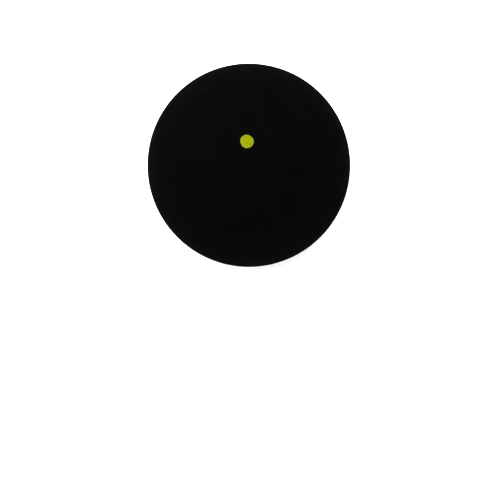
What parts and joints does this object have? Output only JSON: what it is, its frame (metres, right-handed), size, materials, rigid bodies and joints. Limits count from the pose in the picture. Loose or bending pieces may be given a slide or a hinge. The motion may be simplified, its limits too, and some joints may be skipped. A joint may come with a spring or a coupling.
{
  "type": "squash ball",
  "caption": "Small hollow black rubber ball for squash, made of bonded half shells, with a yellow dot printed on its pole.",
  "frame": {"origin": "centre of the ball, on the seam plane", "axes": "+Z from the centre out through the printed dot, square to the seam plane"},
  "size_m": [0.04, 0.04, 0.04],
  "materials": {
    "shell_rubber": "matt black butyl rubber with a finely buffed surface",
    "seam_adhesive": "cured rubber solution, dark brown, smooth on the inside bead",
    "dot_ink": "thin printed ink film, yellow green, slightly glossy"
  },
  "bodies": {
    "root": {"upper_half_shell": "shell_rubber", "lower_half_shell": "shell_rubber", "seam_adhesive": "seam_adhesive", "yellow_dot": "dot_ink"}
  },
  "joints": []
}
